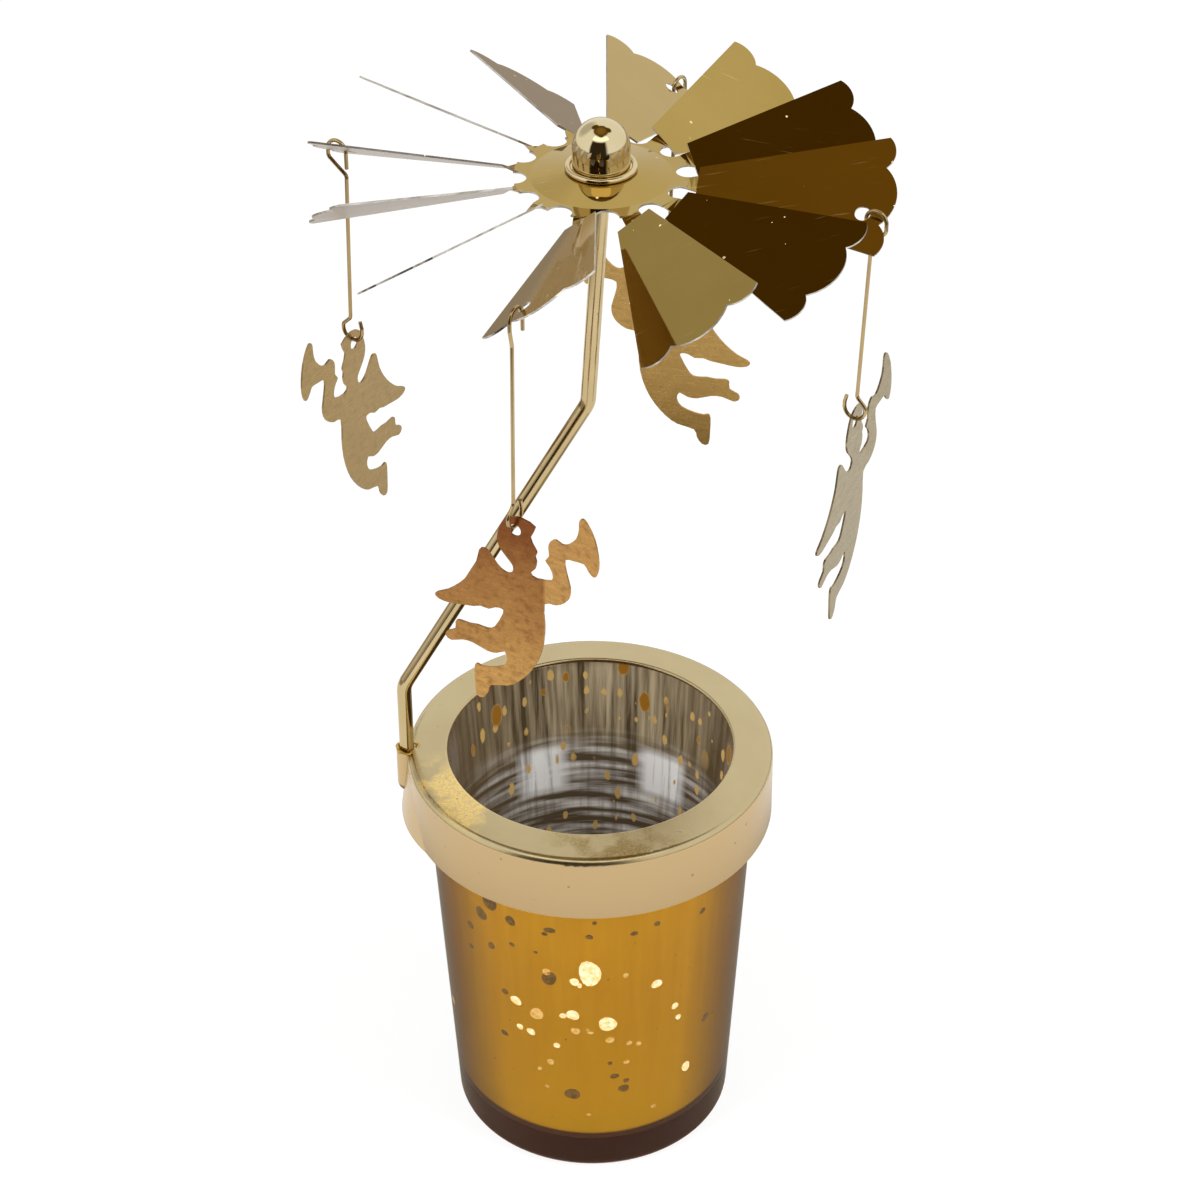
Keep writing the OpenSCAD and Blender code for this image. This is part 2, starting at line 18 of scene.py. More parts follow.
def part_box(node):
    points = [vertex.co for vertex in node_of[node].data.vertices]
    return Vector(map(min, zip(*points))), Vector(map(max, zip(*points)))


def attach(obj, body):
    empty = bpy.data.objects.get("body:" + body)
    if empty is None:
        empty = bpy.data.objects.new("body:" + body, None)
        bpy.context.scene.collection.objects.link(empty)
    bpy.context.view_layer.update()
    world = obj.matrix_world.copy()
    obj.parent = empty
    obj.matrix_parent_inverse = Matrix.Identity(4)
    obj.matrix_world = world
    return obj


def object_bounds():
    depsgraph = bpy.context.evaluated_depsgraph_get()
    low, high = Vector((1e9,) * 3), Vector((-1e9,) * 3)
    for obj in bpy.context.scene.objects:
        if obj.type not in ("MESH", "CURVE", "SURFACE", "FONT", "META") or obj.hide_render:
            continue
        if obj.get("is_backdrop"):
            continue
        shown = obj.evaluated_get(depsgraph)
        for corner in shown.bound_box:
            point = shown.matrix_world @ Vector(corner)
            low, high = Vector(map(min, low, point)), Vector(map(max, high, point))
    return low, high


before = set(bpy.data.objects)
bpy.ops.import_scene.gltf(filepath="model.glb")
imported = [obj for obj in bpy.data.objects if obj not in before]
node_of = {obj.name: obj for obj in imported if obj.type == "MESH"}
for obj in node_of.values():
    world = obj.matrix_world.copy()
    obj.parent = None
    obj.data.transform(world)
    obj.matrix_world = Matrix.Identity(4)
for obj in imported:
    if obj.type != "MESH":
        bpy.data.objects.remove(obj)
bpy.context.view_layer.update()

# %% [markdown]
# ## The camera
#
# The photograph was taken from about 60 cm away and 35 degrees above the table, with a long
# lens. A camera is placed best by its own three axes: where it looks, what is right and what
# is up. Those three columns are its rotation matrix, so no angle has to be guessed by eye.

# %% Place the camera
scene = bpy.context.scene
CAMERA_AT = Vector((0.0, -0.4425, 0.41427))
PITCH, YAW, ROLL = (math.radians(a) for a in (35.176, 0.226, -0.383))
LENS_MM, SENSOR_MM = 102, 36

forward = Vector((math.sin(YAW) * math.cos(PITCH), math.cos(YAW) * math.cos(PITCH),
                  -math.sin(PITCH)))
level_right = Vector((math.cos(YAW), -math.sin(YAW), 0))
level_up = level_right.cross(forward)
right = math.cos(ROLL) * level_right + math.sin(ROLL) * level_up
up = -math.sin(ROLL) * level_right + math.cos(ROLL) * level_up

lens = bpy.data.cameras.new("camera")
lens.lens = LENS_MM
lens.sensor_width = SENSOR_MM
lens.clip_start = 0.01
camera = bpy.data.objects.new("camera", lens)
camera.matrix_world = Matrix((right, up, -forward)).transposed().to_4x4()
camera.location = CAMERA_AT
scene.collection.objects.link(camera)
scene.camera = camera
scene.view_settings.view_transform = "Standard"
print("camera looks", round(math.degrees(PITCH), 1), "degrees down")

# %% [markdown]
# ## Small helpers for shader nodes
#
# Every finish below is a small network of nodes. Writing out each node takes many lines, so
# one helper makes a node, sets its inputs and connects whatever is handed to it. A value that
# is a socket gets a link, and any other value is simply stored.


# %% Node helpers
def put(tree, kind, inputs=None, **settings):
    """A new node of that kind. inputs maps a socket's name or number to a value or a socket."""
    made = tree.nodes.new(kind)
    for key, value in settings.items():
        setattr(made, key, value)
    for key, value in (inputs or {}).items():
        if isinstance(value, bpy.types.NodeSocket):
            tree.links.new(value, made.inputs[key])
        else:
            made.inputs[key].default_value = value
    return made


def calc(tree, operation, *values):
    """The result of one Math node."""
    return put(tree, "ShaderNodeMath", dict(enumerate(values)), operation=operation).outputs[0]


def product(tree, first, *others):
    """All the values multiplied, from left to right."""
    for other in others:
        first = calc(tree, "MULTIPLY", first, other)
    return first


def largest(tree, first, *others):
    """The largest of the values."""
    for other in others:
        first = calc(tree, "MAXIMUM", first, other)
    return first


def vector_calc(tree, operation, *vectors):
    """The result of one Vector Math node, which is a number for a length or a dot product."""
    node = put(tree, "ShaderNodeVectorMath", dict(enumerate(vectors)), operation=operation)
    return node.outputs["Value" if operation in ("LENGTH", "DOT_PRODUCT") else "Vector"]


def scaled(tree, vector, factor):
    """A vector times one factor."""
    return put(tree, "ShaderNodeVectorMath", {0: vector, "Scale": factor},
               operation="SCALE").outputs[0]


def parts_of(tree, vector):
    """The x, y and z of a vector, as three sockets."""
    return put(tree, "ShaderNodeSeparateXYZ", {0: vector}).outputs


def noise(tree, place, scale, detail, **more):
    """A cloudy pattern with values about 0.5."""
    inputs = {"Vector": place, "Scale": scale, "Detail": detail, **more}
    return put(tree, "ShaderNodeTexNoise", inputs).outputs[0]


def blend_colour(tree, mask, low, high):
    """low where mask is 0, high where it is 1."""
    node = put(tree, "ShaderNodeMix", data_type="RGBA")
    for index, value in ((0, mask), (6, low), (7, high)):
        if isinstance(value, bpy.types.NodeSocket):
            tree.links.new(value, node.inputs[index])
        else:
            node.inputs[index].default_value = value
    return node.outputs[2]


def fade(tree, value, low, high, to_low=0.0, to_high=1.0):
    """value carried from the range low..high to the range to_low..to_high, and held there."""
    return put(tree, "ShaderNodeMapRange",
               {0: value, 1: low, 2: high, 3: to_low, 4: to_high}).outputs[0]


def srgb(red, green, blue):
    """A screen colour, 0 to 255, as the linear colour that a node takes."""
    def linear(c):
        c /= 255
        return c / 12.92 if c <= 0.04045 else ((c + 0.055) / 1.055) ** 2.4
    return (linear(red), linear(green), linear(blue), 1)


def place_of(tree):
    """The point being shaded, in metres, in the frame of its own piece."""
    return put(tree, "ShaderNodeTexCoord").outputs["Object"]


def upness(tree):
    """1 where the surface faces up, 0 where it stands upright, -1 where it faces down."""
    return parts_of(tree, put(tree, "ShaderNodeTexCoord").outputs["Normal"])[2]


def stretched(tree, vector, x, y, z, turn=(0, 0, 0)):
    """A place turned and scaled, so that a pattern laid on it is stretched."""
    return put(tree, "ShaderNodeMapping",
               {"Vector": vector, "Scale": (x, y, z), "Rotation": turn}).outputs[0]


# %% [markdown]
# ## Floor, background and light
#
# The object stands on plain white. Polished metal shows what is around it, so the room matters
# as much as the lamps. It is pale up to about forty-five degrees, with windows above that in
# front, a dim ceiling with dark beams overhead, and a dark shape where the photographer stood.
# The blades that mirror a beam turn nearly black-brown for that reason. The camera itself sees
# plain white.


# %% Directions in the room
def toward(azimuth, elevation):
    """The unit vector that points that way, in degrees."""
    a, e = math.radians(azimuth), math.radians(elevation)
    return (math.cos(e) * math.cos(a), math.cos(e) * math.sin(a), math.sin(e))


def patch_round(tree, view, azimuth, elevation, inner, outer):
    """1 within inner degrees of a direction, falling to 0 at outer degrees."""
    near = vector_calc(tree, "DOT_PRODUCT", view, toward(azimuth, elevation))
    return fade(tree, near, math.cos(math.radians(outer)), math.cos(math.radians(inner)))


def between(tree, value, low, high, soft):
    """1 where value lies between low and high, with soft borders."""
    return product(tree, fade(tree, value, low - soft, low + soft),
                   fade(tree, value, high + soft, high - soft))


# %% The room
WHITE = (1, 1, 1, 1)
BELOW_HORIZON = (0.42, 0.37, 0.32, 1)
CEILING = (0.42, 0.39, 0.35, 1)
WINDOW = (1.7, 1.68, 1.62, 1)
GREY_WALL = (0.60, 0.58, 0.56, 1)
BEAM_LOW, BEAM_HIGH = (0.10, 0.055, 0.003, 1), (0.25, 0.15, 0.03, 1)
PERSON = (0.035, 0.024, 0.014, 1)
BEAM_ENDS = ((20, 66), (127, 62), (-90, 73))                        # azimuth, elevation

world = bpy.data.worlds.new("pale_room")
world.use_nodes = True
scene.world = world
room = world.node_tree
room.nodes.clear()

view_way = put(room, "ShaderNodeTexCoord").outputs["Generated"]
axes = parts_of(room, view_way)
ahead = calc(room, "MULTIPLY", axes[1], -1.0)                       # toward the photographer
sideways = calc(room, "DIVIDE", axes[0], calc(room, "MAXIMUM", ahead, 0.05))
in_front = fade(room, ahead, 0.02, 0.12)

tone = blend_colour(room, fade(room, axes[2], -0.10, -0.02), BELOW_HORIZON, WHITE)
tone = blend_colour(room, fade(room, axes[2], 0.88, 0.94), tone, CEILING)
panes_and_painted_reflections = product(room, between(room, axes[2], 0.72, 0.89, 0.015),
                between(room, sideways, -1.3, 1.1, 0.06), in_front)
tone = blend_colour(room, panes_and_painted_reflections, tone, WINDOW)
tone = blend_colour(room, patch_round(room, view_way, 137, 34, 16, 30), tone, GREY_WALL)
gloom = largest(room, patch_round(room, view_way, 90, 89, 22, 26),
                *[patch_round(room, view_way, azimuth, elevation, 9, 13)
                  for azimuth, elevation in BEAM_ENDS])
brown = blend_colour(room, fade(room, axes[2], 0.93, 0.99), BEAM_LOW, BEAM_HIGH)
tone = blend_colour(room, gloom, tone, brown)
person = product(room, between(room, sideways, -1.05, 0.42, 0.12),
                 fade(room, axes[2], 0.70, 0.64), in_front)
seen_room = blend_colour(room, person, tone, PERSON)

ray = put(room, "ShaderNodeLightPath")
straight = ray.outputs["Is Camera Ray"]
background = blend_colour(room, straight, seen_room, WHITE)
mirrored = calc(room, "ADD", ray.outputs["Is Glossy Ray"], ray.outputs["Is Transmission Ray"])
shows = calc(room, "MINIMUM", calc(room, "ADD", straight, mirrored), 1.0)
glow = put(room, "ShaderNodeBackground", {"Color": WHITE, "Strength": 0.6})
view = put(room, "ShaderNodeBackground", {"Color": background, "Strength": 1.0})
both = put(room, "ShaderNodeMixShader", {0: shows, 1: glow.outputs[0], 2: view.outputs[0]})
put(room, "ShaderNodeOutputWorld", {"Surface": both.outputs[0]})
print("room ready: windows in front, dim ceiling overhead")


# %% The floor
FLOOR_R, FLOOR_Z = 2.5, -0.0002


def flat_disc(name, radius, z, steps=96):
    """A level round disc."""
    mesh = bpy.data.meshes.new(name)
    made = bmesh.new()
    bmesh.ops.create_circle(made, cap_ends=True, segments=steps, radius=radius,
                            matrix=Matrix.Translation((0, 0, z)))
    made.to_mesh(mesh)
    made.free()
    disc = bpy.data.objects.new(name, mesh)
    scene.collection.objects.link(disc)
    return disc


# The white paper reaches 33 cm from the cup. Past that, a mirror sees the room instead. Close
# to the cup, where the glass would mirror it as a white haze, a mirror sees the cup's shade.
PAPER_R = 0.33
SHADE_R = 0.100
SHADE = (0.16, 0.12, 0.06, 1)
EVEN_SHARE = 0.78                              # how much of the seen floor is an even glow
floor = flat_disc("floor", FLOOR_R, FLOOR_Z)
paper = bpy.data.materials.new("white_floor")
paper.use_nodes = True
sheet = paper.node_tree
sheet.nodes.clear()
ray = put(sheet, "ShaderNodeLightPath")
glossy = ray.outputs["Is Glossy Ray"]
seen = calc(sheet, "ADD", ray.outputs["Is Camera Ray"], glossy)
seen = calc(sheet, "MINIMUM", calc(sheet, "ADD", seen, ray.outputs["Is Transmission Ray"]), 1.0)
lit = put(sheet, "ShaderNodeBsdfDiffuse", {"Color": (0.86, 0.86, 0.86, 1)})
reach = vector_calc(sheet, "LENGTH", place_of(sheet))
shaded = calc(sheet, "MULTIPLY", glossy, fade(sheet, reach, SHADE_R, SHADE_R - 0.016))
backdrop = blend_colour(sheet, shaded, WHITE, SHADE)
even = put(sheet, "ShaderNodeEmission", {"Color": backdrop, "Strength": 1.06})
share = calc(sheet, "MULTIPLY", seen, EVEN_SHARE)
near = put(sheet, "ShaderNodeMixShader", {0: share, 1: lit.outputs[0], 2: even.outputs[0]})
past = calc(sheet, "MULTIPLY", glossy, fade(sheet, reach, PAPER_R - 0.02, PAPER_R + 0.02))
through = put(sheet, "ShaderNodeBsdfTransparent")
surface = put(sheet, "ShaderNodeMixShader", {0: past, 1: near.outputs[0], 2: through.outputs[0]})
put(sheet, "ShaderNodeOutputMaterial", {"Surface": surface.outputs[0]})
floor.data.materials.append(paper)
floor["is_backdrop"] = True


# %% Soft lamps
LAMP_SIDE, LAMP_WATTS = 0.42, 9
LAMP_AIM = Vector((0, 0, 0.1))


def soft_lamp(name, at):
    """A square lamp that points at the middle of the object."""
    data = bpy.data.lights.new(name, "AREA")
    data.shape = "RECTANGLE"
    data.size = data.size_y = LAMP_SIDE
    data.energy = LAMP_WATTS
    lamp = bpy.data.objects.new(name, data)
    lamp.location = at
    lamp.rotation_euler = (LAMP_AIM - Vector(at)).to_track_quat("-Z", "Y").to_euler()
    lamp.visible_glossy = False                  # the room already shows windows to the metal
    scene.collection.objects.link(lamp)


soft_lamp("window_left", (-0.75, -0.55, 0.62))
soft_lamp("window_right", (0.80, -0.45, 0.70))
print("two lamps")

# %% [markdown]
# ## Marks that several metals share
#
# Thin plated sheet is never perfect: it has hair scratches from handling, bits of dust and a
# brushed grain. These are shader node groups, built once, so that each metal can take its own
# amount. A group gives masks and a height only, and the metal decides what to do with them.


# %% Node group: handling marks
def new_group(name, inputs, outputs):
    """A node group, the sockets that it is given and the sockets of its result."""
    group = bpy.data.node_groups.new(name, "ShaderNodeTree")
    for label, kind, value in inputs:
        socket = group.interface.new_socket(label, in_out="INPUT", socket_type=kind)
        if value is not None:
            socket.default_value = value
    for label, kind in outputs:
        group.interface.new_socket(label, in_out="OUTPUT", socket_type=kind)
    given = group.nodes.new("NodeGroupInput").outputs
    return group, given, group.nodes.new("NodeGroupOutput").inputs


FLOAT, VECTOR = "NodeSocketFloat", "NodeSocketVector"
SCRATCH_TURNS = (0.35, 1.9, 2.8)           # three directions of hair scratches, in radians

marks, given, result = new_group(
    "handling_marks",
    [("Place", VECTOR, None), ("Scratches", FLOAT, 0.5), ("Dust", FLOAT, 0.5)],
    [("Scratch", FLOAT), ("Speck", FLOAT), ("Cloud", FLOAT)])

lines = []
for turn in SCRATCH_TURNS:
    along = stretched(marks, given["Place"], 90, 2600, 90, (0.2, 0.1, turn))
    lines.append(fade(marks, noise(marks, along, 1.0, 2.0), 0.70, 0.76))
patch = fade(marks, noise(marks, given["Place"], 130.0, 1.0), 0.5, 0.62)
scratch = product(marks, largest(marks, *lines), patch, given["Scratches"])
marks.links.new(scratch, result["Scratch"])

cells = put(marks, "ShaderNodeTexVoronoi", {"Vector": given["Place"], "Scale": 560.0})
rare = put(marks, "ShaderNodeSeparateColor", {0: cells.outputs["Color"]}).outputs[0]
size = fade(marks, rare, 0.72, 1.0, 0.0, 0.15)
speck = calc(marks, "LESS_THAN", cells.outputs["Distance"], size)
marks.links.new(calc(marks, "MULTIPLY", speck, given["Dust"]), result["Speck"])
marks.links.new(noise(marks, given["Place"], 60.0, 3.0), result["Cloud"])
print("group", marks.name, "has", len(marks.nodes), "nodes")

# %% Node group: brushed grain
grain, given, result = new_group(
    "brushed_grain",
    [("Place", VECTOR, None)],
    [("Shade", FLOAT), ("Height", FLOAT)])
hair = noise(grain, given["Place"], 1.0, 3.0, Roughness=0.6)
broad = noise(grain, given["Place"], 0.22, 2.0)
mixed = calc(grain, "ADD", calc(grain, "MULTIPLY", hair, 0.6), calc(grain, "MULTIPLY", broad, 0.4))
grain.links.new(fade(grain, mixed, 0.32, 0.68), result["Shade"])
grain.links.new(hair, result["Height"])
print("group", grain.name, "has", len(grain.nodes), "nodes")

# %% Node group: flecks
flecks, given, result = new_group(
    "flecks",
    [("Place", VECTOR, None), ("Number", FLOAT, 300.0), ("Share", FLOAT, 0.3),
     ("Size", FLOAT, 0.3)],
    [("Mask", FLOAT)])
wobble = put(flecks, "ShaderNodeTexNoise",
             {"Vector": given["Place"], "Scale": 900.0, "Detail": 1.0})
drift = scaled(flecks, wobble.outputs["Color"], 0.0005)
shifted = vector_calc(flecks, "ADD", given["Place"], drift)
cells = put(flecks, "ShaderNodeTexVoronoi", {"Vector": shifted, "Scale": given["Number"]})
parts = put(flecks, "ShaderNodeSeparateColor", {0: cells.outputs["Color"]})
present = calc(flecks, "LESS_THAN", parts.outputs[0], given["Share"])
radius = product(flecks, given["Size"], fade(flecks, parts.outputs[1], 0.0, 1.0, 0.25, 1.0))
inside = fade(flecks, cells.outputs["Distance"], radius, product(flecks, radius, 0.7))
flecks.links.new(product(flecks, present, inside), result["Mask"])
print("group", flecks.name, "has", len(flecks.nodes), "nodes")


# %% [markdown]
# ## Metals
#
# All the metal here is thin sheet or wire with a gold-coloured plating, but it comes in
# several finishes: satin on the ring, a mirror on the wheel and the dome, fine brushing on the
# angels. Each finish is one Principled surface, and the differences lie in roughness, in the
# marks and in the colour of the plating.

# %% Material helpers
def new_material(name):
    """A material with one Principled shader, its node tree and that shader."""
    made = bpy.data.materials.new(name)
    made.use_nodes = True
    made.node_tree.nodes.clear()
    tree = made.node_tree
    shader = put(tree, "ShaderNodeBsdfPrincipled")
    put(tree, "ShaderNodeOutputMaterial", {"Surface": shader.outputs[0]})
    return made, tree, shader


def wire_up(tree, shader, **values):
    """Sets the Principled shader's inputs by name, with _ for a space."""
    for key, value in values.items():
        socket = shader.inputs[key.replace("_", " ")]
        if isinstance(value, bpy.types.NodeSocket):
            tree.links.new(value, socket)
        else:
            socket.default_value = value


def use_group(tree, group, **values):
    """The results of a shared node group, given its inputs by name."""
    return put(tree, "ShaderNodeGroup", values, node_tree=group).outputs


def bump(tree, height, strength, depth=0.00005):
    """A surface direction that follows a height, of that depth in metres."""
    return put(tree, "ShaderNodeBump",
               {"Height": height, "Strength": strength, "Distance": depth}).outputs[0]


def dress(material, *names):
    """Gives a finish to solids of the loaded model."""
    for name in names:
        mesh = node_of[name].data
        mesh.materials.clear()
        mesh.materials.append(material)
    print(material.name, "on", ", ".join(names))


# %% [markdown]
# ### The wheel
#
# The wheel's sheet is plated and polished on its upper side only. Its underside is bare grey
# steel and its cut edges are bright and a little rough. Since the blades are tilted by about
# thirty degrees, the direction of the surface tells the three apart: up, down or sideways.
# The blade left of the rod mirrors something golden that this room lacks: a painted reflection.

# %% Mirror sheet of the wheel
WHEEL_X = 0.00235                          # the wheel's axis stands this far to the right
# The stain is a painted reflection: a golden-brown patch between these bearings, fading in past the
# blade's root.
REFLECTION_FROM, REFLECTION_TO = math.radians(-106), math.radians(-84)
BLADE_ROOT_R = (0.0138, 0.0146)            # the stain fades in between these radii

mirror_gold, tree, shader = new_material("mirror_gold")
place = place_of(tree)
facing = upness(tree)
under = calc(tree, "LESS_THAN", facing, -0.6)
cut = calc(tree, "LESS_THAN", calc(tree, "ABSOLUTE", facing), 0.66)
worn = use_group(tree, marks, Place=place, Scratches=0.8, Dust=1.0)
top = blend_colour(tree, fade(tree, worn["Cloud"], 0.3, 0.7),
                   srgb(180, 153, 86), srgb(174, 146, 78))
top = blend_colour(tree, worn["Scratch"], top, srgb(206, 180, 120))
top = blend_colour(tree, worn["Speck"], top, srgb(226, 205, 160))
rub = use_group(tree, grain, Place=stretched(tree, place, 300, 300, 2400))
below = blend_colour(tree, rub["Shade"], srgb(156, 141, 120), srgb(176, 162, 142))
edge = blend_colour(tree, rub["Shade"], srgb(138, 128, 112), srgb(238, 234, 226))

from_axis = vector_calc(tree, "SUBTRACT", place, (WHEEL_X, 0, 0))
from_axis = vector_calc(tree, "MULTIPLY", from_axis, (1, 1, 0))
spot = parts_of(tree, from_axis)
bearing = calc(tree, "ARCTAN2", spot[1], spot[0])
# Painted reflection on the blade left of the rod.
painted_reflection = product(tree, between(tree, bearing, REFLECTION_FROM, REFLECTION_TO, 0.03),
                  fade(tree, vector_calc(tree, "LENGTH", from_axis), *BLADE_ROOT_R))

colour = blend_colour(tree, under, top, below)
colour = blend_colour(tree, product(tree, painted_reflection, 0.8), colour, srgb(150, 112, 18))
colour = blend_colour(tree, cut, colour, edge)
matt = calc(tree, "ADD", product(tree, under, 0.30), product(tree, cut, 0.28))
rough = calc(tree, "ADD", 0.045, largest(tree, matt, product(tree, worn["Speck"], 0.5)))
dull = largest(tree, product(tree, worn["Speck"], 0.9), product(tree, worn["Scratch"], 0.14),
               product(tree, under, 0.2), product(tree, painted_reflection, 0.5))
wire_up(tree, shader, Base_Color=colour, Metallic=calc(tree, "SUBTRACT", 1.0, dull),
        Roughness=rough, Normal=bump(tree, worn["Cloud"], 0.06, 0.0004))
dress(mirror_gold, "rotor_plate")

# %% [markdown]
# ### The ring cap
#
# The ring is spun from sheet and has a satin, champagne-coloured plating. Its top face blurs the
# rod and the nearest angel into a bright and an olive smear. Those depend on the exact light, so
# here they are painted reflections: two ragged, grainy patches, each over a range of bearings.

# %% Satin ring
# Painted reflections on the top face: bearings in degrees, share and tone of each.
PAINTED_REFLECTIONS = ((-168, -128, 1.0, srgb(250, 218, 140)), (-100, -66, 0.8, srgb(150, 122, 62)))

satin_gold, tree, shader = new_material("satin_gold")
place = place_of(tree)
worn = use_group(tree, marks, Place=place, Scratches=0.25, Dust=0.5)
spun = use_group(tree, grain, Place=stretched(tree, place, 500, 500, 900))
tone = blend_colour(tree, fade(tree, worn["Cloud"], 0.3, 0.7),
                    srgb(200, 183, 140), srgb(192, 174, 132))
tone = blend_colour(tree, product(tree, spun["Shade"], 0.15), tone, srgb(214, 200, 160))
facing = upness(tree)
# Faces that do not face up, such as the skirt, take a warmer, slightly darker tone: painted shade.
tone = blend_colour(tree, fade(tree, facing, 0.5, 0.2), tone, srgb(202, 174, 128))
spot = parts_of(tree, place)
bearing = calc(tree, "ARCTAN2", spot[1], spot[0])
grit = noise(tree, place, 2600.0, 2.0)
ragged = noise(tree, place, 170.0, 3.0)
# Each smear is a painted reflection, a ragged grainy patch on the top face.
for first, last, share, reflection_tone in PAINTED_REFLECTIONS:
    patch = product(tree, between(tree, bearing, math.radians(first), math.radians(last), 0.16),
                    fade(tree, ragged, 0.40, 0.52), fade(tree, facing, 0.6, 0.9),
                    fade(tree, grit, 0.35, 0.6, 0.45 * share, share))
    tone = blend_colour(tree, patch, tone, reflection_tone)
tone = blend_colour(tree, worn["Speck"], tone, srgb(120, 92, 56))
rough = calc(tree, "ADD", 0.26, product(tree, worn["Scratch"], 0.12))
wire_up(tree, shader, Base_Color=tone, Metallic=1.0, Roughness=rough,
        Normal=bump(tree, spun["Height"], 0.12))
dress(satin_gold, "ring_cap", "socket_strap")


# %% [markdown]
# ### Rod, dome and wires
#
# These are the polished pieces. They differ only a little: the rod is smooth with a few
# drawing lines along it, the dome is almost a mirror, and the thin wires are slightly dull.

# %% Polished metals
def polished(name, light, dark, roughness, scratches, dust):
    """A smooth metal whose tone wanders between two, with drawing lines along Z."""
    material, tree, shader = new_material(name)
    place = place_of(tree)
    worn = use_group(tree, marks, Place=place, Scratches=scratches, Dust=dust)
    drawn = use_group(tree, grain, Place=stretched(tree, place, 2200, 2200, 120))
    tone = blend_colour(tree, fade(tree, worn["Cloud"], 0.35, 0.65), light, dark)
    tone = blend_colour(tree, product(tree, drawn["Shade"], 0.2), tone, dark)
    tone = blend_colour(tree, worn["Speck"], tone, srgb(110, 88, 60))
    rough = calc(tree, "ADD", roughness, product(tree, worn["Scratch"], 0.15))
    wire_up(tree, shader, Base_Color=tone, Metallic=1.0, Roughness=rough,
            Normal=bump(tree, drawn["Height"], 0.05))
    return material


rod_gold = polished("rod_gold", srgb(208, 188, 146), srgb(190, 168, 122), 0.12, 0.5, 0.3)
dome_gold = polished("dome_gold", srgb(222, 208, 170), srgb(212, 192, 146), 0.05, 0.4, 0.3)
wire_gold = polished("wire_gold", srgb(196, 174, 130), srgb(168, 142, 96), 0.18, 0.3, 0.2)
dress(rod_gold, "support_rod")
dress(dome_gold, "dome_cap", "hub_eyelet")
dress(wire_gold, "hook_right", "hook_back", "hook_left", "hook_front")


# %% [markdown]
# ### The angels
#
# The four figures are stamped from the same sheet and brushed before plating. The fine lines
# run across the figure. Three are pale gold, and the front one has a coppery cast at its head
# and wing that fades to gold at the legs. Its trumpet arm is paler, as if the sheet were bent a
# little there, so past that line it has a paler tone of its own, which is painted light.

# %% Brushed angels
def brushed(name, node, upper_tone, lower_tone, line_tone, share, arm=None):
    """arm: where the trumpet arm begins, its direction in the sheet and its own paler tone, which
    is painted light.
    """
    material, tree, shader = new_material(name)
    place = place_of(tree)
    low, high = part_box(node)
    worn = use_group(tree, marks, Place=place, Scratches=0.6, Dust=0.3)
    brush_way = stretched(tree, place, 1500, 1500, 9000, (0.5, 0.3, 0))
    lines = use_group(tree, grain, Place=brush_way)
    height = parts_of(tree, place)[2]
    patchy = product(tree, calc(tree, "SUBTRACT", worn["Cloud"], 0.5), 0.02)
    level = fade(tree, calc(tree, "ADD", height, patchy), low.z + 0.006, high.z - 0.008)
    tone = blend_colour(tree, level, lower_tone, upper_tone)
    if arm:
        start, way, arm_painted_light_tone = arm
        along = vector_calc(tree, "DOT_PRODUCT", place, way)
        # Past the arm's line the tone is paler: painted light.
        tone = blend_colour(tree, fade(tree, along, start, start + 0.0006), tone, arm_painted_light_tone)
    mottle = noise(tree, place, 900.0, 3.0)
    tone = blend_colour(tree, fade(tree, mottle, 0.5, 0.75, 0.0, 0.5), tone, line_tone)
    tone = blend_colour(tree, product(tree, lines["Shade"], share), tone, line_tone)
    tone = blend_colour(tree, product(tree, worn["Scratch"], 0.6), tone, srgb(224, 202, 160))
    rough = calc(tree, "ADD", 0.24, product(tree, lines["Shade"], 0.14))
    wire_up(tree, shader, Base_Color=tone, Metallic=1.0, Roughness=rough,
            Normal=bump(tree, lines["Height"], 0.35))
    dress(material, node)


brushed("angel_gold_left", "angel_left",
        srgb(172, 144, 94), srgb(164, 136, 86), srgb(142, 116, 72), 0.35)
brushed("angel_gold_back", "angel_back",
        srgb(202, 164, 98), srgb(196, 156, 88), srgb(170, 134, 80), 0.3)
brushed("angel_gold_right", "angel_right",
        srgb(172, 156, 120), srgb(162, 146, 110), srgb(140, 126, 96), 0.35)

FOLD_WAY = (0.851, -0.525, 0.0)            # level direction in the front figure's sheet
FRONT_HANG = (-0.010444, -0.040684)        # x and y of the wire that it hangs on
FOLD_AT = (FRONT_HANG[0] * FOLD_WAY[0] + FRONT_HANG[1] * FOLD_WAY[1]) + 0.0044
# The front figure's trumpet arm is paler past the fold line: painted light.
brushed("angel_copper", "angel_front",
        srgb(140, 84, 44), srgb(206, 158, 90), srgb(108, 64, 34), 0.35,
        (FOLD_AT, FOLD_WAY, srgb(206, 158, 92)))

# %% [markdown]
# ## The glass cup
#
# The cup is thick clear glass with an amber tint, so light that passes through more of it
# comes out darker and browner, as in the heavy base. A real tint works by distance, and so
# does the Volume Absorption node: the surface stays clear and the volume takes the colour.

# %% Amber glass
AMBER = (0.74, 0.50, 0.16, 1)

amber_glass, tree, shader = new_material("amber_glass")
ripple = noise(tree, stretched(tree, place_of(tree), 60, 60, 12), 1.0, 1.0)
wire_up(tree, shader, Base_Color=WHITE, Metallic=0.0, Roughness=0.02, IOR=1.5,
        Transmission_Weight=1.0, Specular_IOR_Level=0.06, Normal=bump(tree, ripple, 0.25, 0.0008))
tint = put(tree, "ShaderNodeVolumeAbsorption", {"Color": AMBER, "Density": 115.0})
output = next(n for n in tree.nodes if n.type == "OUTPUT_MATERIAL")
tree.links.new(tint.outputs[0], output.inputs["Volume"])
dress(amber_glass, "glass_cup")

